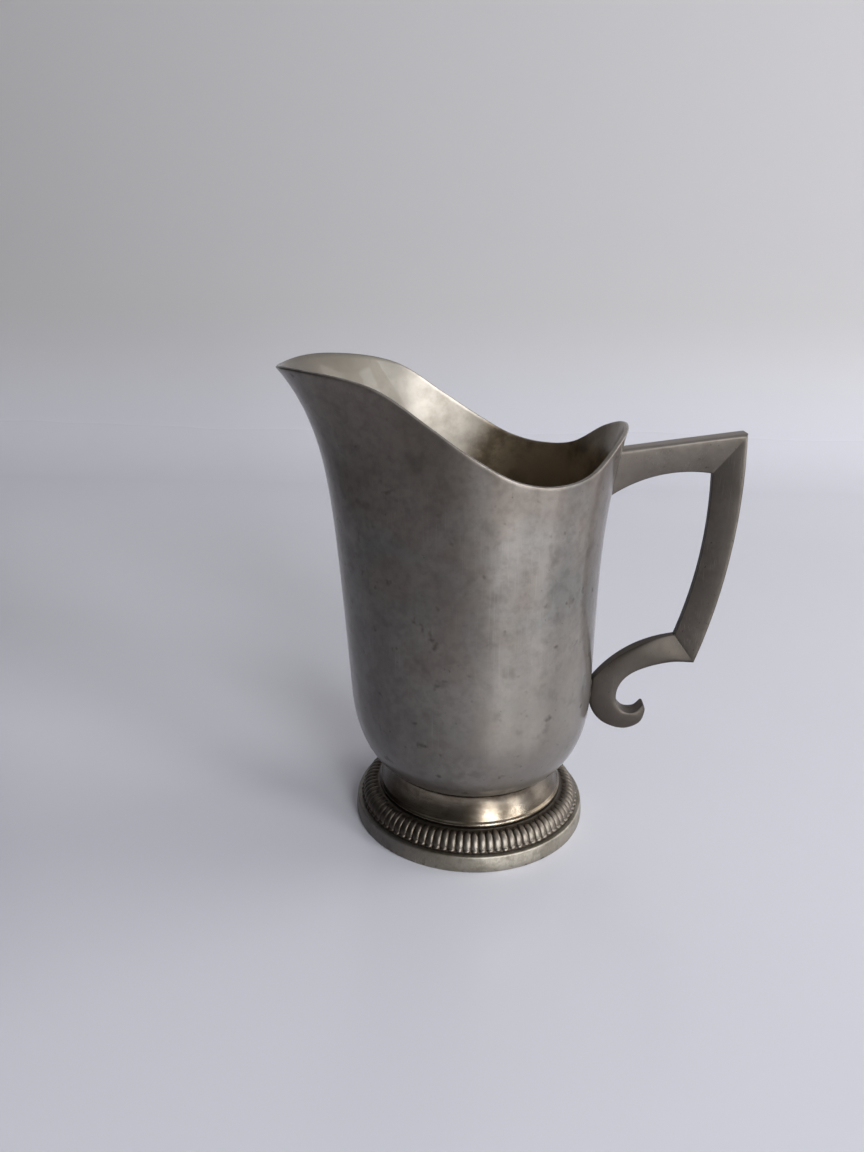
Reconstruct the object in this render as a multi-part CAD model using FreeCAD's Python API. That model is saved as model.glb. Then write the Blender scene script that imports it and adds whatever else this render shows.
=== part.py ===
"""Footed cream jug of soft-soldered pewter: vessel, cast scroll handle and a three-ring foot.

The origin is the centre of the foot's resting face.  +Z is up, +X points at the handle and -X at the
spout.  An angle around the jug is in degrees: 0 is the spout, 180 the handle.  Lengths are millimetres.
"""
import FreeCAD, Part
import math
import os

Vec = FreeCAD.Vector

# ---- driving dimensions -------------------------------------------------------------------------
FOOT_RADIUS = 31.0
FOOT_HEIGHT = 17.1
WALL = 1.0                      # sheet of the vessel
FOOT_WALL = 1.1                 # sheet of the foot's collar
SOLDER = 0.3                    # layer between the handle and the vessel

# ---- vessel -------------------------------------------------------------------------------------
BODY_RADIUS = 31.1
BOTTOM_Z = 15.4                 # outer face of the flat bottom
BOWL_TOP_Z = 36.0               # the rounded bowl ends and the wall begins here
BOWL_INSET = 12.3               # the flat bottom is this much smaller than the wall, in radius
SPOUT_START_Z = 30.0
SPOUT_SPAN = 88.0               # height over which the spout comes forward
SPOUT_EASE = 6.0                # height over which its profile eases out of the upright wall
SPOUT_LEAN = 6.8                # reach of the straight part of the spout's profile
SPOUT_LIP = 9.2                 # further reach of the curled lip
SPOUT_LIP_POWER = 6.9
SPOUT_HALF_ANGLE = 76.0         # the spout fades into the round wall at this angle
SPOUT_ROUNDNESS = 1.18
FLARE_START_Z = 60.0
FLARE_SPAN = 33.0
FLARE_SIDE = 0.2                # outward flare of the rim at the sides
FLARE_BACK = 1.7                # and so much more towards the handle
FLARE_POWER = 2.45
FLARE_BACK_FADE = 1.5           # how fast that extra flare fades towards the sides
RIM_HEIGHT = [                  # angle around the jug, height of the rim
    (0, 118.8), (28, 119.5), (50, 117.2), (70, 109.8), (90, 102.8),
    (106, 98.3), (122, 96.7), (140, 98.0), (160, 104.0), (180, 106.4),
]
TOOL_TOP_Z = 112.0              # level top of the blocks that shape what touches the vessel
AROUND = 48                     # stations around the vessel
BOWL_ROWS = 6
WALL_ROWS = 12
ROW_STEP = 0.002                # short steps along and around the wall, to find its normal
ANGLE_STEP = 0.2

# ---- foot ---------------------------------------------------------------------------------------
BAND_HEIGHT = 4.3
BAND_INNER = 28.2
BAND_LEAN = 0.35                # the band's side leans in by this much
BAND_ROUND = 0.6                # height of its rounded edges
RIB_COUNT = 94
RING_TOP_Z = 8.5
RING_OUTER = 29.7
RING_TOP_OUTER = 25.2
RING_INNER = 23.4
RING_RIM = 1.4                  # thickness of the ring's inner rim
RING_SHOULDER = (27.0, 6.0)     # hollow side of the ring, above the band: radius, height
FLUTE_RADIUS = 0.48
FLUTE_SWEEP = 78.0              # a flute stops short of the collar
BEAD_RADIUS = 24.8
BEAD_HEIGHT = 1.2
BEAD_ROUND = 0.3
COLLAR_FOOT = (23.8, 10.0)      # the collar springs from the bead here: radius, height
WAIST_RADIUS = 22.5
WAIST_Z = 14.4
COLLAR_TOP_RADIUS = 23.7
COLLAR_OVERLAP = 0.4            # the collar's blank reaches this far into the bowl, which trims it
NECK_CORNER = (21.3, 15.7)      # inside corner between the collar and the bowl: radius, height
NECK_FILLET = 1.6
RING_FILLET = 1.0

# ---- handle -------------------------------------------------------------------------------------
HANDLE_THICK = 6.2
CURL_THICK = 5.0
TAPER_MARGIN = 1.0              # the taper starts and ends this far beyond the casting
SOLDER_MARGIN = 0.8             # how far the solder shows around the casting
SOLDER_BLOCK_X = (22.0, 42.0)   # the solder is cut from the vessel's outer layer between these
# Corners of the handle's outline: X and Z in the plane of symmetry.
ARM_TOP_ROOT = (28.0, 99.5)
CORNER_OUTER = (63.2, 104.8)
GRIP_OUTER_MID = (62.9, 75.4)
ELBOW_OUTER = (56.9, 45.6)
CORNER_INNER = (56.4, 94.8)
GRIP_INNER_MID = (56.1, 75.5)
ELBOW_INNER = (51.5, 52.6)
ARM_UNDER_MID = (44.0, 94.1)
ARM_UNDER_END = (33.1, 89.0)
ARM_UNDER_ROOT = (28.0, 85.2)
SCROLL_TOP_MID = (40.2, 48.1)
SCROLL_TOP_END = (31.6, 39.7)
SCROLL_ROOT_TOP = (29.0, 37.2)
SCROLL_ROOT_BOTTOM = (29.0, 35.4)
SCROLL_BACK = [(31.2, 32.6), (34.4, 27.7), (40.2, 25.6), (44.6, 27.4), (45.9, 31.0), (45.3, 32.9)]
SCROLL_TIP_MID = (44.9, 33.0)
SCROLL_FRONT = [(56.9, 45.6), (50.9, 45.5), (45.1, 44.0), (40.6, 41.5), (38.2, 38.0), (38.0, 33.9),
                (40.0, 31.0), (42.9, 30.8), (44.7, 32.6)]


def smooth(points, x):
    """Height of a smooth curve through points, with level ends."""
    slopes = [0.0]
    for before, after in zip(points, points[2:]):
        slopes.append((after[1] - before[1]) / (after[0] - before[0]))
    slopes.append(0.0)
    k = 0
    while k < len(points) - 2 and x > points[k + 1][0]:
        k += 1
    (x0, y0), (x1, y1) = points[k], points[k + 1]
    span = x1 - x0
    t = (x - x0) / span
    rise = t * t * (3 - 2 * t)
    leave = t * (1 - t) * (1 - t) * span * slopes[k]
    arrive = t * t * (t - 1) * span * slopes[k + 1]
    return y0 + (y1 - y0) * rise + leave + arrive


def from_spout(angle):
    """Angle to the spout, 0 to 180 degrees, on either side."""
    return abs((angle + 180.0) % 360.0 - 180.0)


def rim_height(angle):
    return smooth(RIM_HEIGHT, from_spout(angle))


def spout_share(angle):
    """1 in the middle of the spout, fading to 0 at its edges."""
    part = min(from_spout(angle) / SPOUT_HALF_ANGLE, 1.0)
    return math.cos(math.pi / 2 * part ** SPOUT_ROUNDNESS) ** 2


def wall_radius(z, angle):
    """Outer radius of the vessel at a height and an angle."""
    above = z - SPOUT_START_Z
    climb = (above + math.hypot(above, SPOUT_EASE)) / 2 / SPOUT_SPAN
    reach = SPOUT_LEAN * climb + SPOUT_LIP * climb ** SPOUT_LIP_POWER
    back = max(-math.cos(math.radians(angle)), 0.0) ** FLARE_BACK_FADE
    flare = FLARE_SIDE + FLARE_BACK * back
    flare *= max((z - FLARE_START_Z) / FLARE_SPAN, 0.0) ** FLARE_POWER
    share = spout_share(angle)
    inset = 0.0
    if z < BOWL_TOP_Z:
        drop = (BOWL_TOP_Z - z) / (BOWL_TOP_Z - BOTTOM_Z)
        inset = BOWL_INSET * (1 - math.sqrt(max(1 - drop * drop, 0.0)))
    return BODY_RADIUS - inset + flare * (1 - share) + reach * share


def wall_point(row, angle, top, grow=0.0):
    """Point of the outer face: rows -1 to 0 climb the bowl, rows 0 to 1 climb the wall to its top."""
    if row < 0:
        z = BOWL_TOP_Z - (BOWL_TOP_Z - BOTTOM_Z) * math.sin(-row * math.pi / 2)
    else:
        z = BOWL_TOP_Z + (top(angle) - BOWL_TOP_Z) * row
    radius = wall_radius(z, angle) + grow
    turn = math.radians(angle)
    return Vec(-radius * math.cos(turn), -radius * math.sin(turn), z)


def inner_point(row, angle, top):
    """Point of the inner face, one sheet thickness inside the outer one."""
    here = wall_point(row, angle, top)
    if row <= -1:
        return here + Vec(0, 0, WALL)
    up = wall_point(row + ROW_STEP, angle, top) - wall_point(max(row - ROW_STEP, -1), angle, top)
    along = wall_point(row, angle + ANGLE_STEP, top) - wall_point(row, angle - ANGLE_STEP, top)
    outward = along.cross(up)
    outward.normalize()
    return here - outward * WALL


def vessel_face(point):
    """One smooth face through the points that point(row, angle) gives."""
    rows = [-1 + k / BOWL_ROWS for k in range(BOWL_ROWS)]
    rows += [k / WALL_ROWS for k in range(WALL_ROWS + 1)]
    grid = []
    for station in range(AROUND + 1):
        angle = 360.0 * (station % AROUND) / AROUND
        grid.append([point(row, angle) for row in rows])
    surface = Part.BSplineSurface()
    surface.interpolate(grid)
    return surface.toShape()


def end_edges(face):
    """The closed edges at the bottom and at the top of a vessel face."""
    closed = [edge for edge in face.Edges if edge.isClosed()]
    closed.sort(key=lambda edge: edge.CenterOfMass.z)
    return closed[0], closed[-1]


def disc(edge):
    """A flat face inside a closed edge."""
    return Part.Face(Part.Wire([edge]))


def solid_from(faces):
    """One closed solid from faces that share their edges."""
    shell = Part.makeShell(faces)
    shell.sewShape()
    solid = Part.makeSolid(shell)
    if solid.Volume < 0:
        solid.reverse()
    return solid


def filled_vessel(grow):
    """The vessel as a block, grown in radius: the tool that shapes what touches it."""
    wall = vessel_face(lambda row, angle: wall_point(row, angle, lambda _: TOOL_TOP_Z, grow))
    low, high = end_edges(wall)
    return solid_from([wall, disc(low), disc(high)])


def make_body_shell():
    """The spun vessel with its drawn spout: outer and inner faces, two bottoms and a level rim."""
    outer = vessel_face(lambda row, angle: wall_point(row, angle, rim_height))
    inner = vessel_face(lambda row, angle: inner_point(row, angle, rim_height))
    outer_low, outer_high = end_edges(outer)
    inner_low, inner_high = end_edges(inner)
    rim = Part.makeRuledSurface(outer_high, inner_high)
    return solid_from([outer, inner, disc(outer_low), disc(inner_low), rim])


def at(pair, y=0.0):
    """A point of the handle's outline, which is drawn in the plane of symmetry."""
    return Vec(pair[0], y, pair[1])


def line(start, end):
    return Part.LineSegment(at(start), at(end)).toShape()


def arc(start, middle, end):
    return Part.Arc(at(start), at(middle), at(end)).toShape()


def curve(pairs):
    """A smooth edge through points of the outline."""
    spline = Part.BSplineCurve()
    spline.interpolate([at(pair) for pair in pairs])
    return spline.toShape()


def handle_taper():
    """A wedge that thins the casting from its top corner down to its curl."""
    low = SCROLL_BACK[2][1] - TAPER_MARGIN
    high = CORNER_OUTER[1] + TAPER_MARGIN
    top, bottom = HANDLE_THICK / 2, CURL_THICK / 2
    points = [Vec(0, -bottom, low), Vec(0, bottom, low), Vec(0, top, high), Vec(0, -top, high)]
    wedge = Part.Face(Part.makePolygon(points + points[:1]))
    return wedge.extrude(Vec(CORNER_OUTER[0] + TAPER_MARGIN, 0, 0))


def make_handle(vessel_tool):
    """The cast handle: arm, grip and scroll from one outline, tapered and fitted to the vessel."""
    outline = Part.Wire([
        line(ARM_TOP_ROOT, CORNER_OUTER),
        arc(CORNER_OUTER, GRIP_OUTER_MID, ELBOW_OUTER),
        curve(SCROLL_FRONT),
        arc(SCROLL_FRONT[-1], SCROLL_TIP_MID, SCROLL_BACK[-1]),
        curve(SCROLL_BACK[::-1]),
        line(SCROLL_BACK[0], SCROLL_ROOT_BOTTOM),
        line(SCROLL_ROOT_BOTTOM, SCROLL_ROOT_TOP),
        line(SCROLL_ROOT_TOP, SCROLL_TOP_END),
        arc(SCROLL_TOP_END, SCROLL_TOP_MID, ELBOW_INNER),
        arc(ELBOW_INNER, GRIP_INNER_MID, CORNER_INNER),
        arc(CORNER_INNER, ARM_UNDER_MID, ARM_UNDER_END),
        line(ARM_UNDER_END, ARM_UNDER_ROOT),
        line(ARM_UNDER_ROOT, ARM_TOP_ROOT),
    ])
    plate = Part.Face(outline).extrude(Vec(0, HANDLE_THICK, 0))
    plate.translate(Vec(0, -HANDLE_THICK / 2, 0))
    return plate.common(handle_taper()).cut(vessel_tool)


def make_solder_layer(vessel, grown_vessel, low_z, high_z):
    """The part of the thin layer on the vessel that lies under one end of the handle."""
    start, end = SOLDER_BLOCK_X
    half = HANDLE_THICK / 2 + SOLDER_MARGIN
    layer = Part.makeBox(end - start, 2 * half, high_z - low_z + 2 * SOLDER_MARGIN)
    layer.translate(Vec(start, -half, low_z - SOLDER_MARGIN))
    return layer.common(grown_vessel).cut(vessel)


def ring(edges):
    """A full turn of a closed section that is drawn in the XZ plane."""
    return Part.Face(Part.Wire(edges)).revolve(Vec(0, 0, 0), Vec(0, 0, 1), 360)


def polygon_ring(points):
    """A full turn of a straight-sided section."""
    return ring([line(a, b) for a, b in zip(points, points[1:] + points[:1])])


def make_base_band():
    """The foot's plain base: a flat ring with a slightly leaning side and rounded edges."""
    in_round = BAND_ROUND * (1 - math.sqrt(0.5))
    top_radius = FOOT_RADIUS - BAND_LEAN
    low_start = (FOOT_RADIUS - BAND_ROUND, 0)
    low_middle = (FOOT_RADIUS - in_round, in_round)
    low_end = (FOOT_RADIUS, BAND_ROUND)
    high_start = (top_radius, BAND_HEIGHT - BAND_ROUND)
    high_middle = (top_radius - in_round, BAND_HEIGHT - in_round)
    high_end = (top_radius - BAND_ROUND, BAND_HEIGHT)
    return ring([
        line((BAND_INNER, 0), low_start),
        arc(low_start, low_middle, low_end),
        line(low_end, high_start),
        arc(high_start, high_middle, high_end),
        line(high_end, (BAND_INNER, BAND_HEIGHT)),
        line((BAND_INNER, BAND_HEIGHT), (BAND_INNER, 0)),
    ])


def make_gadroon_ring():
    """A convex quarter-round ring, cut by one round flute between each pair of ribs."""
    round_radius = RING_OUTER - RING_TOP_OUTER + FLUTE_RADIUS / 2
    centre = (RING_OUTER - round_radius, BAND_HEIGHT)
    diagonal = round_radius * math.sqrt(0.5)
    inner_low = (RING_INNER, RING_TOP_Z - RING_RIM)
    blank = ring([
        arc((RING_OUTER, BAND_HEIGHT), (centre[0] + diagonal, centre[1] + diagonal),
            (RING_TOP_OUTER, RING_TOP_Z)),
        line((RING_TOP_OUTER, RING_TOP_Z), (RING_INNER, RING_TOP_Z)),
        line((RING_INNER, RING_TOP_Z), inner_low),
        line(inner_low, RING_SHOULDER),
        line(RING_SHOULDER, (BAND_INNER, BAND_HEIGHT)),
        line((BAND_INNER, BAND_HEIGHT), (RING_OUTER, BAND_HEIGHT)),
    ])
    flute = Part.makeTorus(round_radius, FLUTE_RADIUS, Vec(), Vec(0, 0, 1), 0, 360, FLUTE_SWEEP)
    flute.rotate(Vec(), Vec(1, 0, 0), 90)
    flute.translate(Vec(centre[0], 0, centre[1]))
    flutes = []
    for rib in range(RIB_COUNT):
        turned = flute.copy()
        turned.rotate(Vec(0, 0, 0), Vec(0, 0, 1), 360.0 * rib / RIB_COUNT)
        flutes.append(turned)
    return blank.cut(Part.makeCompound(flutes))


def make_foot_neck(vessel):
    """The concave collar: a small bead over the ribbed ring, a waist, and a seat under the bowl."""
    waist = (WAIST_RADIUS, WAIST_Z)
    outer = [COLLAR_FOOT, waist, (COLLAR_TOP_RADIUS, FOOT_HEIGHT + COLLAR_OVERLAP)]
    inner = [(r - FOOT_WALL, z) for r, z in outer]
    bead_middle = RING_TOP_Z + BEAD_HEIGHT / 2
    bead_low = (BEAD_RADIUS - BEAD_ROUND, RING_TOP_Z)
    bead_high = (BEAD_RADIUS - BEAD_ROUND, RING_TOP_Z + BEAD_HEIGHT)
    blank = ring([
        line((RING_INNER, RING_TOP_Z), bead_low),
        arc(bead_low, (BEAD_RADIUS, bead_middle), bead_high),
        line(bead_high, outer[0]),
        arc(*outer),
        line(outer[-1], inner[-1]),
        arc(*inner[::-1]),
        line(inner[0], (RING_INNER, bead_middle)),
        line((RING_INNER, bead_middle), (RING_INNER, RING_TOP_Z)),
    ])
    return blank.cut(vessel)


def fillet_ring(radius, z, size, neighbours):
    """A solder fillet of diamond section on the inner side of a corner that its neighbours make."""
    blank = polygon_ring([(radius - size, z), (radius, z - size), (radius + size, z), (radius, z + size)])
    for neighbour in neighbours:
        blank = blank.cut(neighbour)
    return min(blank.Solids, key=lambda piece: piece.BoundBox.XMax)


def save(name, shape):
    """Write one part as a STEP file, and print what it holds."""
    solids = shape.Solids
    print(name, len(solids), "solid(s)", shape.isValid(), round(shape.Volume, 1), "mm3")
    if len(solids) == 1:
        shape = solids[0]
    shape.exportStep("parts/" + name + ".step")


def main():
    os.makedirs("parts", exist_ok=True)
    vessel = filled_vessel(0.0)
    grown_vessel = filled_vessel(SOLDER)
    body_shell = make_body_shell()
    foot_neck = make_foot_neck(vessel)
    gadroon_ring = make_gadroon_ring()
    base_band = make_base_band()
    save("body_shell", body_shell)
    save("handle", make_handle(grown_vessel))
    upper_solder = make_solder_layer(vessel, grown_vessel, ARM_UNDER_END[1], ARM_TOP_ROOT[1])
    lower_solder = make_solder_layer(vessel, grown_vessel, SCROLL_BACK[0][1], SCROLL_TOP_END[1])
    save("upper_handle_solder", upper_solder)
    save("lower_handle_solder", lower_solder)
    save("foot_neck", foot_neck)
    save("neck_solder", fillet_ring(NECK_CORNER[0], NECK_CORNER[1], NECK_FILLET, [vessel, foot_neck]))
    save("gadroon_ring", gadroon_ring)
    save("ring_solder", fillet_ring(RING_INNER, RING_TOP_Z, RING_FILLET, [foot_neck, gadroon_ring]))
    save("base_band", base_band)
    save("band_solder", fillet_ring(BAND_INNER, BAND_HEIGHT, RING_FILLET, [gadroon_ring, base_band]))


main()
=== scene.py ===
"""Looks of the footed pewter cream jug: fine meshes and worn-metal materials around the CAD frame."""
import math
import random

import bmesh
import bpy
from mathutils import Matrix, Vector, noise


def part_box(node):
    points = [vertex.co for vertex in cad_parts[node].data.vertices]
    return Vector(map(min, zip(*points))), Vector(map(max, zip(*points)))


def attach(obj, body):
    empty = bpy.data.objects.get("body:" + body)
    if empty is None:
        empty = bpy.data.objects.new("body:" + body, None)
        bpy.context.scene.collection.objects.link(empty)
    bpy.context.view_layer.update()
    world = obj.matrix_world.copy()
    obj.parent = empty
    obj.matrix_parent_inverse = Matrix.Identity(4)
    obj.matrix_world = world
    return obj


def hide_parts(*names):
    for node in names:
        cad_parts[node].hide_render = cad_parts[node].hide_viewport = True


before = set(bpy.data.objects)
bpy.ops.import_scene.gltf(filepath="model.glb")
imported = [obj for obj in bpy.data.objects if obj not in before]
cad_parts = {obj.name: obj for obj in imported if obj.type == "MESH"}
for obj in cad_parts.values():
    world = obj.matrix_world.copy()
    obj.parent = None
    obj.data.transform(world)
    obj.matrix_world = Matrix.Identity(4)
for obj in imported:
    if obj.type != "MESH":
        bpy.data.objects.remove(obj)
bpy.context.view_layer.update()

# Sizes are millimetres of the jug as drawn, with a foot of 31 mm radius.  MM turns them into metres
# and follows the frame's own foot.
FOOT_RADIUS = 31.0
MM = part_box("base_band")[1].x / FOOT_RADIUS

# ---- vessel ----
WALL = 1.0
BODY_RADIUS = 31.1
BOTTOM_Z = 15.4
BOWL_TOP_Z = 36.0
BOWL_INSET = 12.3
SPOUT_START_Z = 30.0
SPOUT_SPAN = 88.0
SPOUT_LEAN = 6.8
SPOUT_LIP = 9.2
SPOUT_LIP_POWER = 6.9
SPOUT_HALF_ANGLE = 76.0
SPOUT_ROUNDNESS = 1.18
SPOUT_EASE = 6.0                # over about this height the spout's lean sets in
FLARE_START_Z = 60.0
FLARE_SPAN = 33.0
FLARE_SIDE = 0.2
FLARE_BACK = 1.7
FLARE_POWER = 2.45
FLARE_BACK_FADE = 1.5           # how fast the flare over the handle fades towards the sides
RIM_HEIGHT = [                  # angle around the jug, 0 at the spout and 180 at the handle; height
    (0, 118.8), (28, 119.5), (50, 117.2), (70, 109.8), (90, 102.8),
    (106, 98.3), (122, 96.7), (140, 98.0), (160, 104.0), (180, 106.4),
]
RIM_ROUND = 0.28                # the rim's bead stands this much above the wall's end
DENT_BROAD = 17.0               # size and depth of the sheet's broad and fine unevenness
DENT_DEPTH = 0.06
DENT_FINE = 6.0
DENT_FINE_DEPTH = 0.012
AROUND = 240
BOWL_ROWS = 28
WALL_ROWS = 90
RIM_STEPS = 8                   # steps of the half circle over the rim
RIM_CREST = 3                   # the crest's place among these steps
RIM_REACH = 5.0                 # the rubbed, lighter edge, partly a painted highlight, fades over this many steps
BOTTOM_SHARES = (0.02, 0.2, 0.4, 0.6, 0.8)      # rings of the flat bottom, as shares of its radius
ROW_STEP = 0.002                # small steps up and round the wall, from which its slope is taken
ANGLE_STEP = 0.2

# ---- foot ----
RING_AROUND = 256
WOBBLE = 0.03                   # depth and size of the turned rings' unevenness
WOBBLE_SIZE = 9.0
ROUND_STEPS = 5
BAND_HEIGHT = 4.3
BAND_INNER = 28.2
RIB_COUNT = 94
RIB_HEIGHT = 0.42
RIB_SINK = 0.30                 # the grooves lie this deep in the ring's smooth face
CLEAN_SWELL = 0.24              # a rib is rubbed clean where it stands this much above its grooves
RIB_MIDDLE = 0.47               # middle and half length of a rib, as shares of the ring's profile
RIB_REACH = 0.44
STEPS_PER_RIB = 14
RING_STEPS = 44
RING_INNER = 23.4
RING_BED_Z = 4.35
RING_EDGE = (29.55, RING_BED_Z) # the ring's profile: plain edge, ribbed bulge and land, as three arcs
RING_EDGE_MID = (29.6, 4.9)
RING_LOW = (29.1, 5.35)
RING_BULGE = (28.25, 7.25)
RING_HIGH = (26.3, 8.35)
RING_LAND = (25.4, 8.5)
RING_END = (24.4, 8.4)
RING_INSIDE = [(RING_INNER, 8.1), (RING_INNER, 7.1), (27.0, 6.0), (28.1, 5.0), (BAND_INNER, RING_BED_Z)]
EDGE_SHARE = 0.16               # share of the profile that the edge takes, and the land as well
COLLAR_WALL = 1.1
COLLAR_OUTER = [(24.1, 9.95), (23.45, 11.5), (22.85, 13.3), (22.5, 14.9), (22.6, 16.1), (23.3, 17.0)]
COLLAR_RIM = [(23.5, 17.2), (23.4, 17.4), (23.0, 17.35)]
COLLAR_BEAD = [(24.3, 8.62), (24.62, 8.75), (24.78, 9.05), (24.72, 9.4), (24.5, 9.66), (24.3, 9.8)]
COLLAR_SEAT = [(23.5, 9.0), (23.45, 8.6)]

# ---- handle: pairs are X and Z in the plane of symmetry ----
HANDLE_THICK = 6.2
CURL_THICK = 5.0
TIP_THINNING = 0.20             # the curl's very tip is this much thinner
THICK_MARGIN = 0.05             # the visible casting is this much thinner than in CAD
ARM_STEPS = 30
GRIP_STEPS = 48
SCROLL_STEPS = 96
SCROLL_TOP_STEPS = 60           # of these, steps from the elbow to the casting's end on the vessel
CORNER_PAINTED_SHADE = 0.22              # painted shade: how dark the metal is painted at the corner, down the grip and past the elbow
GRIP_PAINTED_SHADE = 0.3
ELBOW_PAINTED_SHADE = 0.65
ARM_TOP_ROOT = (33.4, 100.3)
CORNER_OUTER = (63.2, 104.8)
GRIP_OUTER_MID = (62.9, 75.4)
ELBOW_OUTER = (56.9, 45.6)
CORNER_INNER = (56.4, 94.8)
GRIP_INNER_MID = (56.1, 75.5)
ELBOW_INNER = (51.5, 52.6)
ARM_UNDER_MID = (44.0, 94.1)
ARM_UNDER_ROOT = (31.9, 88.2)
SCROLL_TOP_MID = (40.2, 48.1)
SCROLL_TOP_END = (31.6, 39.7)
SCROLL_BACK = [(31.2, 32.6), (34.4, 27.7), (40.2, 25.6), (44.6, 27.4), (45.9, 31.0), (45.3, 32.9)]
SCROLL_FRONT = [ELBOW_OUTER, (50.9, 45.5), (45.1, 44.0), (40.6, 41.5), (38.2, 38.0), (38.0, 33.9),
                (40.0, 31.0), (42.9, 30.8), (44.7, 32.6)]

# ---- solder beads at the two ends of the handle ----
UPPER_BEAD = 0.28
LOWER_BEAD = 0.26
LOWER_ROOT = (33.2, 39.2)       # from and to this height the scroll touches the vessel
LOWER_ROOT_THICK = 3.6
BEAD_SPACING = 0.3
BEAD_STEPS = 10
BEAD_SPREAD = 1.3               # a bead's width over its height

# ---- camera: where the eye stands and how it is turned ----
EYE_BACK = 210.9
EYE_HEIGHT = 139.8
EYE_PITCH = 19.15
EYE_YAW = -2.95
EYE_ROLL = 0.615
LENS = 27.34                    # on a 36 mm long side


# ==== curves ====

def smooth(points, x):
    """Height of a smooth curve through points, with level ends."""
    slopes = [0.0]
    for before, after in zip(points, points[2:]):
        slopes.append((after[1] - before[1]) / (after[0] - before[0]))
    slopes.append(0.0)
    k = 0
    while k < len(points) - 2 and x > points[k + 1][0]:
        k += 1
    (x0, y0), (x1, y1) = points[k], points[k + 1]
    span = x1 - x0
    t = (x - x0) / span
    rise = t * t * (3 - 2 * t)
    leave = t * (1 - t) * (1 - t) * span * slopes[k]
    arrive = t * t * (t - 1) * span * slopes[k + 1]
    return y0 + (y1 - y0) * rise + leave + arrive


def blend_step(low, high, x):
    """0 below low, 1 above high, and a smooth step between."""
    t = min(max((x - low) / (high - low), 0.0), 1.0)
    return t * t * (3 - 2 * t)


def arc_point(start, middle, end, t):
    """Point at a share t of the circular arc through three pairs."""
    ax, ay = start
    bx, by = middle
    cx, cy = end
    d = 2 * (ax * (by - cy) + bx * (cy - ay) + cx * (ay - by))
    a2, b2, c2 = ax * ax + ay * ay, bx * bx + by * by, cx * cx + cy * cy
    ux = (a2 * (by - cy) + b2 * (cy - ay) + c2 * (ay - by)) / d
    uy = (a2 * (cx - bx) + b2 * (ax - cx) + c2 * (bx - ax)) / d
    radius = math.hypot(ax - ux, ay - uy)
    first = math.atan2(ay - uy, ax - ux)
    turn_mid = (math.atan2(by - uy, bx - ux) - first) % (2 * math.pi)
    turn = (math.atan2(cy - uy, cx - ux) - first) % (2 * math.pi)
    if turn_mid > turn:
        turn -= 2 * math.pi
    angle = first + turn * t
    return ux + radius * math.cos(angle), uy + radius * math.sin(angle)


def spline_points(pairs, count):
    """Evenly spaced points on a smooth curve through pairs."""
    knots = [0.0]
    for a, b in zip(pairs, pairs[1:]):
        knots.append(knots[-1] + math.hypot(b[0] - a[0], b[1] - a[1]))
    first = (2 * pairs[0][0] - pairs[1][0], 2 * pairs[0][1] - pairs[1][1])
    last = (2 * pairs[-1][0] - pairs[-2][0], 2 * pairs[-1][1] - pairs[-2][1])
    ends = [first] + list(pairs) + [last]
    times = [-knots[1]] + knots + [2 * knots[-1] - knots[-2]]
    out = []
    k = 1
    for step in range(count):
        t = knots[-1] * step / (count - 1)
        while k < len(ends) - 3 and t > times[k + 1]:
            k += 1
        out.append(tuple(hermite_value(ends, times, k, t, axis) for axis in (0, 1)))
    return out


def hermite_value(ends, times, k, t, axis):
    """One coordinate at time t, between ends k and k + 1, of the curve through ends at times."""
    span = times[k + 1] - times[k]
    s = (t - times[k]) / span
    m0 = (ends[k + 1][axis] - ends[k - 1][axis]) / (times[k + 1] - times[k - 1]) * span
    m1 = (ends[k + 2][axis] - ends[k][axis]) / (times[k + 2] - times[k]) * span
    a, b = ends[k][axis], ends[k + 1][axis]
    s2, s3 = s * s, s * s * s
    return (2 * s3 - 3 * s2 + 1) * a + (s3 - 2 * s2 + s) * m0 + (3 * s2 - 2 * s3) * b + (s3 - s2) * m1


# ==== mesh helpers ====

def plain_object(name, points, faces):
    """A smooth-shaded object from points in metres."""
    mesh = bpy.data.meshes.new(name)
    mesh.from_pydata(points, [], faces)
    mesh.polygons.foreach_set("use_smooth", [True] * len(mesh.polygons))
    made = bpy.data.objects.new(name, mesh)
    bpy.context.scene.collection.objects.link(made)
    return made


def make_object(name, points, faces, marks=None, sharp=()):
    """A closed piece from millimetre points; marks are named float values, one for each point."""
    made = plain_object(name, [Vector(p) * MM for p in points], faces)
    mesh = made.data
    for mark, values in (marks or {}).items():
        layer = mesh.attributes.new(mark, "FLOAT", "POINT")
        layer.data.foreach_set("value", values)
    if sharp:
        pairs = {tuple(sorted(pair)) for pair in sharp}
        for edge in mesh.edges:
            if tuple(sorted(edge.vertices)) in pairs:
                edge.use_edge_sharp = True
    mesh.update()
    face_out(mesh)
    return made


def face_out(mesh):
    """Turn every face of a closed mesh outwards."""
    work = bmesh.new()
    work.from_mesh(mesh)
    bmesh.ops.recalc_face_normals(work, faces=work.faces)
    work.to_mesh(mesh)
    work.free()


def loft_faces(row_count, row_length, close_rows=False):
    """Quads between neighbouring closed rows; close_rows also joins the last row to the first."""
    faces = []
    for r in range(row_count if close_rows else row_count - 1):
        for c in range(row_length):
            a = r * row_length + c
            b = r * row_length + (c + 1) % row_length
            next_row = (r + 1) % row_count
            d = next_row * row_length + c
            e = next_row * row_length + (c + 1) % row_length
            faces.append((a, b, e, d))
    return faces


def capped_faces(row_count, row_length):
    """Quads between neighbouring closed rows, with the first and the last row filled."""
    last = (row_count - 1) * row_length
    ends = [tuple(reversed(range(row_length))), tuple(range(last, last + row_length))]
    return loft_faces(row_count, row_length) + ends


def finish_piece(made, material, node):
    """Give a piece its material and say what it rides on, which node it replaces."""
    made.data.materials.append(material)
    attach(made, "root")
    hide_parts(node)


# ==== vessel ====

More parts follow.
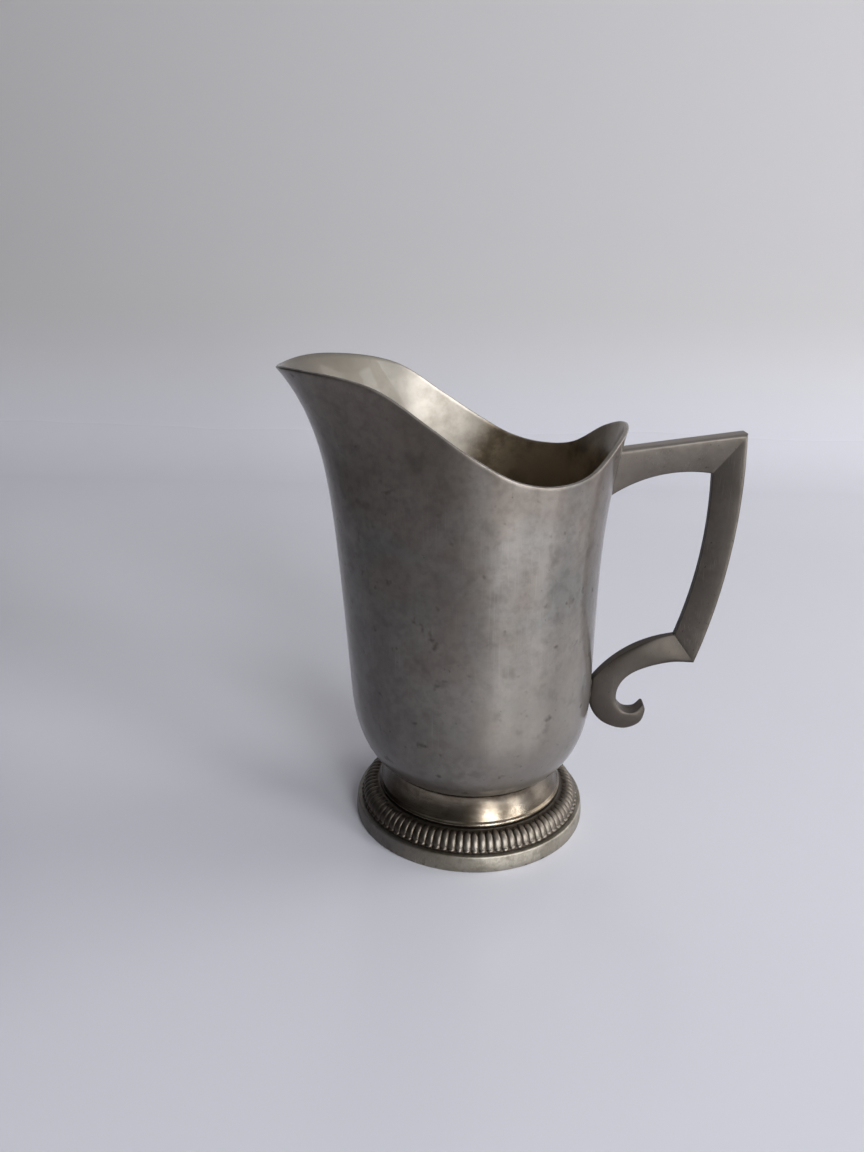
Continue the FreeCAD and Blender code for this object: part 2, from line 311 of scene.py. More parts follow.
def from_spout(angle):
    """Degrees from the middle of the spout, 0 to 180."""
    return abs((angle + 180.0) % 360.0 - 180.0)


def rim_height(angle):
    """Height at which the wall ends and the rim's round bead begins."""
    return smooth(RIM_HEIGHT, from_spout(angle)) - RIM_ROUND


def spout_share(angle):
    """1 in the middle of the spout, fading to 0 at its edges."""
    part = min(from_spout(angle) / SPOUT_HALF_ANGLE, 1.0)
    return math.cos(math.pi / 2 * part ** SPOUT_ROUNDNESS) ** 2


def wall_radius(z, angle):
    """Outer radius of the vessel at a height and an angle."""
    above = z - SPOUT_START_Z
    climb = (above + math.hypot(above, SPOUT_EASE)) / 2 / SPOUT_SPAN
    reach = SPOUT_LEAN * climb + SPOUT_LIP * climb ** SPOUT_LIP_POWER
    back = max(-math.cos(math.radians(angle)), 0.0) ** FLARE_BACK_FADE
    flare = FLARE_SIDE + FLARE_BACK * back
    flare *= max((z - FLARE_START_Z) / FLARE_SPAN, 0.0) ** FLARE_POWER
    share = spout_share(angle)
    inset = 0.0
    if z < BOWL_TOP_Z:
        drop = (BOWL_TOP_Z - z) / (BOWL_TOP_Z - BOTTOM_Z)
        inset = BOWL_INSET * (1 - math.sqrt(max(1 - drop * drop, 0.0)))
    return BODY_RADIUS - inset + flare * (1 - share) + reach * share


def hammer(point):
    """Faint unevenness of hand-finished sheet, in millimetres."""
    broad = noise.noise(point / DENT_BROAD)
    fine = noise.noise(point / DENT_FINE + Vector((9.1, 4.7, 2.3)))
    return DENT_DEPTH * broad + DENT_FINE_DEPTH * fine


def wall_point(row, angle):
    """Point of the outer face: rows -1 to 0 climb the bowl, rows 0 to 1 climb the wall to the rim."""
    if row < 0:
        z = BOWL_TOP_Z - (BOWL_TOP_Z - BOTTOM_Z) * math.sin(-row * math.pi / 2)
    else:
        z = BOWL_TOP_Z + (rim_height(angle) - BOWL_TOP_Z) * row
    radius = wall_radius(z, angle)
    turn = math.radians(angle)
    return Vector((-radius * math.cos(turn), -radius * math.sin(turn), z))


def wall_frame(row, angle):
    """Point, outward normal and upward tangent of the outer face."""
    here = wall_point(row, angle)
    up = wall_point(row + ROW_STEP, angle) - wall_point(max(row - ROW_STEP, -1.0), angle)
    along = wall_point(row, angle + ANGLE_STEP) - wall_point(row, angle - ANGLE_STEP)
    outward = along.cross(up).normalized()
    return here, outward, up.normalized()


def body_section(angle):
    """Points from the middle of the outer bottom, up the outside, over the rim and down the inside."""
    rows = [-1 + k / BOWL_ROWS for k in range(BOWL_ROWS)]
    rows += [k / WALL_ROWS for k in range(WALL_ROWS + 1)]
    outside, inside = [], []
    for row in rows:
        here, outward, up = wall_frame(row, angle)
        if row <= -1:
            outward = Vector((0, 0, -1))
        dent = hammer(here) * blend_step(-1.0, -0.7, row)
        outside.append(here + outward * dent)
        inside.append(here + outward * (dent - WALL))
    middle = (outside[-1] + inside[-1]) / 2
    across = outside[-1] - middle
    rim = []
    for step in range(1, RIM_STEPS):
        turn = math.pi * step / RIM_STEPS
        rim.append(middle + across * math.cos(turn) + up * (RIM_ROUND * math.sin(turn)))
    under, floor = [], []
    for share in BOTTOM_SHARES:
        under.append(Vector((outside[0].x * share, outside[0].y * share, outside[0].z)))
        floor.append(Vector((inside[0].x * share, inside[0].y * share, inside[0].z)))
    return under + outside + rim + inside[::-1] + floor[::-1]


def build_body():
    """The spun vessel with its drawn spout, as one closed sheet with a rounded rim."""
    sections = [body_section(360.0 * k / AROUND) for k in range(AROUND)]
    length = len(sections[0])
    points = [section[k] for k in range(length) for section in sections]
    outer_rows = len(BOTTOM_SHARES) + BOWL_ROWS + WALL_ROWS + 1
    inside, rim = [], []
    for k in range(length):
        over = k - outer_rows
        inside += [blend_step(1, RIM_STEPS - 1, over)] * AROUND
        rim += [max(0.0, 1 - abs(over - RIM_CREST) / RIM_REACH)] * AROUND
    marks = {"inside": inside, "rim": rim}
    return make_object("body_shell_worn", points, capped_faces(length, AROUND), marks)


# ==== rings of the foot ====

def turned_ring(name, profile):
    """A full turn of a closed profile of (radius, height) pairs, with faint unevenness."""
    points = []
    for radius, z in profile:
        for k in range(RING_AROUND):
            turn = 2 * math.pi * k / RING_AROUND
            place = Vector((radius * math.cos(turn), radius * math.sin(turn), z))
            grow = 1 + WOBBLE * noise.noise(place / WOBBLE_SIZE) / radius
            points.append(Vector((place.x * grow, place.y * grow, z)))
    return make_object(name, points, loft_faces(len(profile), RING_AROUND, close_rows=True))


def corner_round(before, corner, after, radius):
    """A rounded corner of a profile, as a short quadratic curve."""
    to_before = Vector(before) - Vector(corner)
    to_after = Vector(after) - Vector(corner)
    start = Vector(corner) + to_before.normalized() * radius
    end = Vector(corner) + to_after.normalized() * radius
    out = []
    for step in range(ROUND_STEPS + 1):
        t = step / ROUND_STEPS
        point = start * (1 - t) ** 2 + Vector(corner) * 2 * t * (1 - t) + end * t * t
        out.append((point.x, point.y))
    return out


def rounded_profile(corners):
    """A closed profile from (radius, height, rounding) corners."""
    out = []
    count = len(corners)
    for k, (radius, z, rounding) in enumerate(corners):
        before = corners[k - 1][:2]
        after = corners[(k + 1) % count][:2]
        if rounding:
            out += corner_round(before, (radius, z), after, rounding)
        else:
            out.append((radius, z))
    return out


def build_base_band():
    """The plain band on which the jug stands; its corners are (radius, height, rounding)."""
    edge, top = FOOT_RADIUS, BAND_HEIGHT
    return turned_ring("base_band_worn", rounded_profile([
        (BAND_INNER, 0.0, 0.3), (edge - 0.15, 0.0, 0.35), (edge - 0.02, 1.2, 0.8),
        (edge - 0.4, top, 0.4), (edge - 1.2, top - 0.05, 0.3), (BAND_INNER, top, 0.2),
    ]))


def build_foot_neck():
    """The concave collar with the small bead that stands on the ribbed ring."""
    outer = spline_points(COLLAR_OUTER, 40)
    inner = [(r - COLLAR_WALL, z) for r, z in reversed(outer)]
    return turned_ring("foot_neck_worn", COLLAR_BEAD + outer + COLLAR_RIM + inner + COLLAR_SEAT)


def ring_surface(t):
    """The ribbed ring's outer profile at a share t, from its plain outer edge up to the collar."""
    if t < EDGE_SHARE:
        return arc_point(RING_EDGE, RING_EDGE_MID, RING_LOW, t / EDGE_SHARE)
    if t < 1 - EDGE_SHARE:
        return arc_point(RING_LOW, RING_BULGE, RING_HIGH, (t - EDGE_SHARE) / (1 - 2 * EDGE_SHARE))
    return arc_point(RING_HIGH, RING_LAND, RING_END, (t - 1 + EDGE_SHARE) / EDGE_SHARE)


def rib_swell(t, across, size):
    """Height of a rib at a share t along it and across it (-1 to 1), in millimetres."""
    along = (t - RIB_MIDDLE) / RIB_REACH
    width = max(1 - abs(along) ** 5, 0.0) ** 0.5 * size
    if width < 0.05:
        return 0.0
    inside = max(1 - (across / width) ** 2, 0.0)
    return RIB_HEIGHT * inside ** 0.5 * min(1.0, width * 1.3)


def ring_frame(t):
    """Radius, height and outward normal of the ring's smooth face at a share t of its profile."""
    radius, z = ring_surface(t)
    ahead, behind = ring_surface(min(t + 0.01, 1)), ring_surface(max(t - 0.01, 0))
    slope = Vector((ahead[0] - behind[0], ahead[1] - behind[1])).normalized()
    return radius, z, Vector((slope.y, -slope.x))


def rib_fade(t):
    """1 along the ribs, 0 on the land above them."""
    return blend_step(-0.03, 0.04, t) * (1 - blend_step(0.90, 0.98, t))


def ring_dirt_and_shade(t, swell, fade):
    """How dark a place of the ring is painted: dirt most in the grooves, and painted shade by the collar
    and at the edge.
    """
    groove = max(0.0, 1 - (swell + RIB_SINK * fade) / CLEAN_SWELL) * fade
    # Painted shade on the land under the collar, and at the outer edge where the ring meets the band.
    land = 0.15 * blend_step(0.88, 0.94, t) + 0.5 * blend_step(0.97, 1.0, t)
    return max(groove, land, 1 - blend_step(0.0, 0.05, t))


def build_gadroon_ring():
    """The convex ring with its hand-chased ribs and the grooves between them."""
    shuffle = random.Random(RIB_COUNT)
    sizes = [shuffle.uniform(0.86, 0.97) for _ in range(RIB_COUNT)]
    shifts = [shuffle.uniform(-0.035, 0.035) for _ in range(RIB_COUNT)]
    around = RIB_COUNT * STEPS_PER_RIB
    turns = [2 * math.pi * step / around for step in range(around)]
    points, dirt_and_shade = [], []
    for k in range(RING_STEPS + 1):
        t = k / RING_STEPS
        radius, z, normal = ring_frame(t)
        fade = rib_fade(t)
        for step, turn in enumerate(turns):
            rib = step // STEPS_PER_RIB
            across = (step % STEPS_PER_RIB + 0.5) / STEPS_PER_RIB * 2 - 1
            swell = (rib_swell(t + shifts[rib], across, sizes[rib]) - RIB_SINK) * fade
            r = radius + normal.x * swell
            points.append(Vector((r * math.cos(turn), r * math.sin(turn), z + normal.y * swell)))
            dirt_and_shade.append(ring_dirt_and_shade(t, swell, fade))
    for r, z in RING_INSIDE:
        points += [Vector((r * math.cos(turn), r * math.sin(turn), z)) for turn in turns]
        dirt_and_shade += [1.0] * around
    faces = loft_faces(RING_STEPS + 1 + len(RING_INSIDE), around, close_rows=True)
    return make_object("gadroon_ring_worn", points, faces, {"dirt_and_shade": dirt_and_shade})


# ==== handle ====

def member_stations():
    """Pairs of inner and outer points along the arm, along the grip and along the scroll."""
    arm, grip = [], []
    for k in range(ARM_STEPS + 1):
        t = k / ARM_STEPS
        outer = (ARM_TOP_ROOT[0] + (CORNER_OUTER[0] - ARM_TOP_ROOT[0]) * t,
                 ARM_TOP_ROOT[1] + (CORNER_OUTER[1] - ARM_TOP_ROOT[1]) * t)
        arm.append((arc_point(ARM_UNDER_ROOT, ARM_UNDER_MID, CORNER_INNER, t), outer))
    for k in range(GRIP_STEPS + 1):
        t = k / GRIP_STEPS
        grip.append((arc_point(CORNER_INNER, GRIP_INNER_MID, ELBOW_INNER, t),
                     arc_point(CORNER_OUTER, GRIP_OUTER_MID, ELBOW_OUTER, t)))
    front = spline_points(SCROLL_FRONT, SCROLL_STEPS + 1)
    back = [arc_point(ELBOW_INNER, SCROLL_TOP_MID, SCROLL_TOP_END, k / SCROLL_TOP_STEPS)
            for k in range(SCROLL_TOP_STEPS)]
    back += spline_points([SCROLL_TOP_END] + SCROLL_BACK, SCROLL_STEPS - SCROLL_TOP_STEPS + 1)
    return arm, grip, list(zip(back, front))


# A section's shape: narrowing and rounding of its inner edge, rounding of its outer edge, and the
# share of the way from inner to outer edge where it is thickest.
ARM_SHAPE = (0.70, 0.0, 0.42, 0.93)
ELBOW_SHAPE = (0.60, 0.0, 0.36, 0.92)
CURL_SHAPE = (0.10, 0.35, 0.10, 0.80)
TAPER_POWER = 1.4               # over 1: the tapered face is slightly crowned
CURL_FULL_AT = 0.30             # share of the scroll's length where its section is the curl's own
SECTION_STEPS = [0.0, 0.03, 0.08, 0.16, 0.27, 0.4, 0.5, 0.6,
                 0.69, 0.77, 0.84, 0.9, 0.945, 0.975, 0.992, 1.0]


def section_half(u, taper_inner, round_inner, round_outer, full_at):
    """Half thickness of the casting, as a share, at a share u from its inner to its outer edge."""
    fall = 1.0
    if u > full_at:
        t = (u - full_at) / (1 - full_at)
        fall -= round_outer * (1 - math.sqrt(max(1 - t * t, 0.0)))
    else:
        t = 1 - u / full_at
        fall -= taper_inner * t ** TAPER_POWER
        fall -= round_inner * (1 - math.sqrt(max(1 - t * t, 0.0)))
    return fall


def member_shape(member_index, t):
    """The section's shape at a share t along the arm (0), the grip (1) or the scroll (2)."""
    if member_index == 0:
        return ARM_SHAPE
    if member_index == 1:
        before, after, share = ARM_SHAPE, ELBOW_SHAPE, blend_step(0.3, 1.0, t)
    else:
        before, after, share = ELBOW_SHAPE, CURL_SHAPE, blend_step(0.0, CURL_FULL_AT, t)
    return tuple(a + (b - a) * share for a, b in zip(before, after))


def handle_section(inner, outer, thick, shape):
    """One closed section: near side from inner to outer edge, then the far side back."""
    near, far = [], []
    for u in SECTION_STEPS:
        x = inner[0] + (outer[0] - inner[0]) * u
        z = inner[1] + (outer[1] - inner[1]) * u
        half = thick / 2 * section_half(u, *shape)
        near.append(Vector((x, -half, z)))
        far.append(Vector((x, half, z)))
    return near + far[::-1]


def thickness_at(z):
    """Thickness of the casting, from the curl's at its bottom to the full one at the corner."""
    low = SCROLL_BACK[2][1] - 1
    high = CORNER_OUTER[1] + 1
    return CURL_THICK + (HANDLE_THICK - CURL_THICK) * (z - low) / (high - low) - THICK_MARGIN


def handle_sections():
    """All sections from the vessel to the curl's tip, and the numbers of the two at the mitres."""
    sections, mitres = [], []
    for member_index, member in enumerate(member_stations()):
        if member_index:
            mitres.append(len(sections) - 1)
            member = member[1:]
        for k, (inner, outer) in enumerate(member):
            t = k / (len(member) - 1)
            thick = thickness_at((inner[1] + outer[1]) / 2)
            if member_index == 2:
                thick *= 1 - TIP_THINNING * blend_step(0.9, 1.0, t)
            sections.append(handle_section(inner, outer, thick, member_shape(member_index, t)))
    return sections, mitres


def handle_painted_shade(r, count, corner, elbow):
    """How much painted shade section r of count gets: more towards the corner, down the grip and past the
    elbow.
    """
    if r <= corner:
        return CORNER_PAINTED_SHADE * blend_step(0.7, 1.0, r / corner)
    if r < elbow:
        return GRIP_PAINTED_SHADE
    past_elbow = (r - elbow) / (count - 1 - elbow)
    return ELBOW_PAINTED_SHADE * (1 - blend_step(0.12, 0.5, past_elbow))


def handle_marks(count, length, corner, elbow):
    """Named values for each point: painted shade on the inner edge, the outer edge, and painted shade
    along the members.
    """
    marks = {"dirt_and_shade": [], "outer_edge": [], "painted_shade": []}
    for r in range(count):
        # Painted shade along the inner edge: full up to the elbow, weaker on the scroll.
        inner_dark = 1.0 if r <= elbow else 0.3
        marks["dirt_and_shade"] += [inner_dark] + [0.0] * (length - 2) + [inner_dark]
        marks["painted_shade"] += [handle_painted_shade(r, count, corner, elbow)] * length
        for c in range(length):
            from_edge = 1 - SECTION_STEPS[min(c, length - 1 - c)]
            marks["outer_edge"].append(1 - blend_step(0.01, 0.08, from_edge))
    return marks


def handle_creases(count, length, corner, elbow):
    """The crisp edges: round both mitres and both ends, along the inner edge and along the curl."""
    creases = []
    for r in (0, corner, elbow, count - 1):
        creases += [(r * length + c, r * length + (c + 1) % length) for c in range(length)]
    for r in range(count - 1):
        columns = [0, length - 1]
        if r > elbow + SCROLL_TOP_STEPS:
            columns += [length // 2 - 1, length // 2]
        creases += [(r * length + c, (r + 1) * length + c) for c in columns]
    return creases


def build_handle():
    """The cast handle: three crowned members that meet in crisp mitres, and the open curl."""
    sections, (corner, elbow) = handle_sections()
    count, length = len(sections), len(sections[0])
    points = [p for section in sections for p in section]
    marks = handle_marks(count, length, corner, elbow)
    creases = handle_creases(count, length, corner, elbow)
    return make_object("handle_worn", points, capped_faces(count, length), marks, creases)


# ==== solder ====

def wall_x(y, z):
    """X of the vessel's outer face on the handle's side."""
    radius = wall_radius(z, 180.0)
    for _ in range(4):
        angle = 180.0 - math.degrees(math.asin(min(y / radius, 1.0)))
        radius = wall_radius(z, angle)
    return math.sqrt(radius * radius - y * y)


def root_outline(low, high, thick, shape):
    """(Y, Z) pairs around the handle's section where it meets the vessel."""
    near = [(-thick / 2 * section_half(u, *shape), low + (high - low) * u) for u in SECTION_STEPS]
    return near + [(-y, z) for y, z in reversed(near)]


def evenly(pairs, spacing):
    """Points along a closed outline, about spacing millimetres apart."""
    out = []
    for a, b in zip(pairs, pairs[1:] + pairs[:1]):
        pieces = max(1, round(math.hypot(b[0] - a[0], b[1] - a[1]) / spacing))
        for k in range(pieces):
            t = k / pieces
            out.append((a[0] + (b[0] - a[0]) * t, a[1] + (b[1] - a[1]) * t))
    return out


def solder_bead(name, outline, size):
    """A thin uneven fillet of solder around one end of the handle, lying on the vessel."""
    loop = [Vector((wall_x(y, z), y, z)) for y, z in evenly(outline, BEAD_SPACING)]
    count = len(loop)
    outward = Vector((1, 0, 0))
    points = []
    for k, centre in enumerate(loop):
        along = (loop[(k + 1) % count] - loop[k - 1]).normalized()
        side = along.cross(outward).normalized()
        grow = size * (1 + 0.5 * noise.noise(centre / 1.7))
        for step in range(BEAD_STEPS):
            turn = 2 * math.pi * step / BEAD_STEPS
            sideways = side * (math.cos(turn) * grow * BEAD_SPREAD)
            points.append(centre + outward * (math.sin(turn) * grow) + sideways)
    return make_object(name, points, loft_faces(count, BEAD_STEPS, close_rows=True))


# ==== materials ====

SCRATCH_WIDTH = 0.05


class Paint:
    """One material's node tree, with short calls for the textures that the metals share."""

    def __init__(self, name):
        self.material = bpy.data.materials.new(name)
        self.material.use_nodes = True
        self.tree = self.material.node_tree
        self.shader = self.tree.nodes["Principled BSDF"]
        self.place = self.node("ShaderNodeTexCoord", {}).outputs["Object"]

    def node(self, kind, inputs, **settings):
        """A new node, with its inputs linked or set and its other settings made."""
        made = self.tree.nodes.new(kind)
        for key, value in settings.items():
            setattr(made, key, value)
        for key, value in inputs.items():
            self.feed(made.inputs[key], value)
        return made

    def feed(self, socket, value):
        """Link an output to a socket, or set a plain value on it; colours get their alpha."""
        if isinstance(value, bpy.types.NodeSocket):
            self.tree.links.new(value, socket)
        elif socket.type == "RGBA":
            socket.default_value = (*value, 1.0)
        else:
            socket.default_value = value

    def mapped(self, stretch=(1, 1, 1), turn=(0, 0, 0), shift=(0, 0, 0)):
        """The object's own coordinates, moved, turned by degrees and stretched."""
        angles = [math.radians(a) for a in turn]
        inputs = {"Vector": self.place, "Scale": stretch, "Rotation": angles, "Location": shift}
        return self.node("ShaderNodeMapping", inputs).outputs["Vector"]

    def noise(self, size, detail=4.0, rough=0.55, where=None, warp=0.0):
        """Cloudy noise, 0 to 1, with features of about size millimetres."""
        inputs = {"Vector": where or self.place, "Scale": 1 / (size * MM), "Detail": detail,
                  "Roughness": rough, "Distortion": warp}
        return self.node("ShaderNodeTexNoise", inputs).outputs["Fac"]

    def step(self, value, low, high):
        """A smooth step from 0 at low to 1 at high."""
        inputs = {"Value": value, "From Min": low, "From Max": high}
        return self.node("ShaderNodeMapRange", inputs, interpolation_type="SMOOTHSTEP").outputs["Result"]

    def scale_to(self, value, low, high):
        """Stretch a 0 to 1 value to low to high."""
        inputs = {"Value": value, "To Min": low, "To Max": high}
        return self.node("ShaderNodeMapRange", inputs).outputs["Result"]

    def maths(self, operation, a, b=0.0):
        """One sum; times, plus and minus are short names for the common ones."""
        return self.node("ShaderNodeMath", {0: a, 1: b}, operation=operation).outputs["Value"]

    def times(self, a, b):
        return self.maths("MULTIPLY", a, b)

    def plus(self, a, b):
        return self.maths("ADD", a, b)

    def minus(self, a, b):
        return self.maths("SUBTRACT", a, b)

    def mix(self, share, a, b):
        """Colour a where share is 0 and colour b where it is 1."""
        return self.node("ShaderNodeMix", {"Factor": share, 6: a, 7: b}, data_type="RGBA").outputs[2]

    def layer(self, under, mask, strength, colour):
        """A colour laid over another one where mask is 1, at most as strong as strength."""
        return self.mix(self.times(mask, strength), under, colour)

    def mark(self, name):
        """A value stored on the mesh."""
        return self.node("ShaderNodeAttribute", {}, attribute_name=name).outputs["Fac"]

    def axis(self, letter):
        """X is the distance towards the handle, Z the height above the table, both in metres."""
        return self.node("ShaderNodeSeparateXYZ", {0: self.place}).outputs[letter]

    def by_height(self, low, high):
        """A smooth step from 0 to 1 between two heights in millimetres, upwards or downwards."""
        return self.step(self.axis("Z"), low * MM, high * MM)

    def by_reach(self, low, high):
        """The same between two distances towards the handle; the spout is at negative ones."""
        return self.step(self.axis("X"), low * MM, high * MM)

    def specks(self, size, low, high, shift):
        """Scattered irregular spots of about size millimetres: 1 in a spot, with soft edges."""
        return self.step(self.noise(size, detail=2.0, where=self.mapped(shift=shift)), low, high)

    def scratches(self, turn, shift, long=9.0):
        """Fine scratches along one direction, about long millimetres each: 1 on a scratch."""
        thin = 1 / (SCRATCH_WIDTH * MM)
        where = self.mapped((thin, thin, 1 / (long * MM)), turn, shift)
        found = self.node("ShaderNodeTexNoise", {"Vector": where, "Scale": 0.25, "Detail": 1.0})
        return self.step(found.outputs["Fac"], 0.66, 0.74)

    def finish(self, colour, roughness, relief, depth):
        """Connect the metal; relief is a height, 0 to 1, of depth millimetres."""
        self.feed(self.shader.inputs["Base Color"], colour)
        self.feed(self.shader.inputs["Roughness"], roughness)
        self.shader.inputs["Metallic"].default_value = 1.0
        bump = self.node("ShaderNodeBump", {"Strength": 1.0, "Distance": depth * MM, "Height": relief})
        self.feed(self.shader.inputs["Normal"], bump.outputs["Normal"])
        return self.material


def all_scratches(paint, seed):
    """Three sparse families of scratches in different directions."""
    found = paint.scratches((12, 70, 0), (seed, 0, 0))
    found = paint.maths("MAXIMUM", found, paint.scratches((70, 20, 30), (0, seed, 0), long=6.0))
    found = paint.maths("MAXIMUM", found, paint.scratches((-35, -50, 10), (0, 0, seed), long=5.0))
    patches = paint.step(paint.noise(13, where=paint.mapped(shift=(seed, seed, 0))), 0.42, 0.66)
    return paint.times(found, patches)


def vessel_outside(paint, cloud, mottle, grain):
    """Colour of the outside: clouded grey-brown, with a painted highlight low on the handle's side and
    painted shade low below the spout.
    """
    blue = paint.step(paint.noise(19, where=paint.mapped(shift=(0.9, 0.3, 0.2)), warp=0.5), 0.5, 0.72)
    brown = paint.noise(15, where=paint.mapped(shift=(0.2, 0.8, 0.5)), warp=0.5)
    brown = paint.step(paint.plus(brown, paint.times(paint.by_height(60, 95), 0.18)), 0.5, 0.72)
    cloudlets = paint.noise(2.2, detail=3.0, rough=0.6, where=paint.mapped(shift=(0.6, 0.5, 0.4)))
    # Painted highlight: the lower body is painted lighter towards the handle's side.
    painted_low_highlight = paint.times(paint.by_height(72, 38), paint.by_reach(-10, 12))
    # Painted shade: the lower body is painted darker towards the spout's side.
    painted_spout_side_shade = paint.times(paint.by_height(84, 46), paint.by_reach(-4, -26))
    smudges = paint.specks(5.0, 0.54, 0.76, (2, 2, 1))
    metal = paint.mix(paint.step(cloud, 0.3, 0.7), (0.162, 0.148, 0.135), (0.252, 0.230, 0.210))
    metal = paint.layer(metal, paint.step(mottle, 0.35, 0.75), 0.5, (0.128, 0.116, 0.106))
    metal = paint.layer(metal, blue, 0.45, (0.125, 0.142, 0.140))
    metal = paint.layer(metal, brown, 0.50, (0.180, 0.140, 0.112))
    metal = paint.mix(paint.scale_to(grain, 0.0, 0.35), metal, (0.25, 0.23, 0.212))
    metal = paint.layer(metal, paint.step(cloudlets, 0.40, 0.70), 0.35, (0.110, 0.098, 0.088))
    metal = paint.layer(metal, painted_low_highlight, 0.42, (0.33, 0.30, 0.265))
    metal = paint.layer(metal, painted_spout_side_shade, 0.5, (0.085, 0.079, 0.076))
    return paint.layer(metal, smudges, 0.45, (0.105, 0.092, 0.078))


def vessel_inside(paint, cloud, mottle):
    """Colour of the inside: clean in the spout, with painted shade at its lip, and stained golden brown
    further down.
    """
    reach = paint.minus(paint.times(paint.axis("Z"), 0.6), paint.axis("X"))
    stain = paint.step(paint.plus(reach, paint.times(cloud, 0.02)), 73 * MM, 61 * MM)
    back_lip = paint.times(paint.by_reach(24, 30), paint.by_height(95, 100))
    stain = paint.minus(stain, paint.times(paint.times(stain, back_lip), 0.75))
    golden = paint.mix(paint.step(mottle, 0.35, 0.68), (0.31, 0.245, 0.165), (0.135, 0.101, 0.068))
    away = paint.maths("ABSOLUTE", paint.minus(paint.axis("X"), 19 * MM))
    away = paint.plus(away, paint.maths("ABSOLUTE", paint.minus(paint.axis("Z"), 89 * MM)))
    patch = paint.times(paint.step(away, 16 * MM, 4 * MM), paint.scale_to(mottle, 0.2, 1.1))
    golden = paint.mix(patch, golden, (0.40, 0.31, 0.205))
    clean = paint.mix(paint.step(mottle, 0.3, 0.8), (0.51, 0.462, 0.402), (0.37, 0.33, 0.28))
    # Painted shade: the inside of the spout is painted darker towards its lip.
    clean = paint.layer(clean, paint.by_reach(-14, -23), 0.9, (0.132, 0.119, 0.100))
    return paint.mix(stain, clean, golden)


def aged_pewter():
    """The vessel: satin old pewter with a cloudy bloom, pits and scratches, and a stained inside."""
    paint = Paint("aged pewter")
    cloud = paint.noise(26, detail=6.0, rough=0.62, warp=0.4)
    mottle = paint.noise(5.5, detail=6.0, rough=0.65, where=paint.mapped(shift=(0.4, 0.1, 0.7)))
    grain = paint.noise(0.55, detail=3.0, rough=0.6)
    large_pits = paint.specks(3.6, 0.645, 0.79, (1, 2, 3))
    small_pits = paint.specks(1.4, 0.69, 0.86, (3, 1, 2))
    pits = paint.maths("MAXIMUM", large_pits, small_pits)
    scratched = all_scratches(paint, 3.0)
    # The rim's crest is painted lighter: rubbed metal, and partly a painted highlight along the rim.
    edge = paint.times(paint.mark("rim"), paint.step(paint.noise(2.2), 0.3, 0.6))
    metal = vessel_outside(paint, cloud, mottle, grain)
    metal = paint.layer(metal, pits, 0.6, (0.05, 0.043, 0.035))
    metal = paint.layer(metal, scratched, 0.16, (0.36, 0.35, 0.33))
    colour = paint.mix(paint.mark("inside"), metal, vessel_inside(paint, cloud, mottle))
    colour = paint.layer(colour, edge, 0.6, (0.34, 0.315, 0.285))
    rough = paint.plus(paint.scale_to(mottle, 0.40, 0.56), paint.times(paint.mark("inside"), 0.08))
    rough = paint.plus(rough, paint.times(pits, 0.15))
    rough = paint.minus(rough, paint.times(edge, 0.12))
    relief = paint.plus(paint.times(grain, 0.25), paint.times(mottle, 0.5))
    relief = paint.minus(relief, paint.times(pits, 0.55))
    relief = paint.minus(relief, paint.times(scratched, 0.08))
    paint.shader.inputs["Coat Weight"].default_value = 0.85
    paint.shader.inputs["Coat Roughness"].default_value = 0.06
    paint.shader.inputs["Coat IOR"].default_value = 1.2
    return paint.finish(colour, rough, relief, 0.035)


def cast_pewter():
    """The handle: a smooth brown-grey casting, with a painted highlight on top and painted shade down the
    grip and the scroll.
    """
    paint = Paint("cast pewter")
    cloud = paint.noise(14, detail=5.0, rough=0.6, warp=0.3)
    mottle = paint.noise(2.6, detail=5.0, rough=0.6)
    grain = paint.noise(0.4, detail=2.0)
    pits = paint.specks(1.0, 0.68, 0.76, (2, 3, 1))
    scratched = all_scratches(paint, 7.0)
    metal = paint.mix(paint.step(cloud, 0.3, 0.7), (0.140, 0.121, 0.104), (0.188, 0.165, 0.143))
    metal = paint.layer(metal, paint.step(mottle, 0.4, 0.8), 0.45, (0.105, 0.091, 0.081))
    metal = paint.layer(metal, pits, 0.6, (0.06, 0.053, 0.048))
    metal = paint.layer(metal, scratched, 0.2, (0.38, 0.36, 0.34))
    # Painted shade: the grip, the scroll and the arm by the corner are painted darker.
    metal = paint.mix(paint.mark("painted_shade"), metal, (0.055, 0.047, 0.040))
    # Painted shade: the handle is painted darker from 56 mm downwards.
    metal = paint.layer(metal, paint.by_height(56, 44), 0.55, (0.06, 0.051, 0.043))
    # Painted highlight: the top of the arm and the corner are painted lighter.
    painted_top_highlight = paint.times(paint.mark("outer_edge"), paint.by_height(96, 99))
    metal = paint.layer(metal, painted_top_highlight, 0.7, (0.33, 0.30, 0.27))
    # Painted shade: a dark line along the handle's inner edge.
    metal = paint.layer(metal, paint.mark("dirt_and_shade"), 0.9, (0.03, 0.025, 0.021))
    rough = paint.plus(paint.scale_to(mottle, 0.43, 0.56), paint.times(pits, 0.2))
    relief = paint.plus(paint.times(grain, 0.3), paint.times(mottle, 0.45))
    relief = paint.minus(relief, paint.times(paint.maths("MAXIMUM", pits, scratched), 0.4))
    return paint.finish(metal, rough, relief, 0.03)


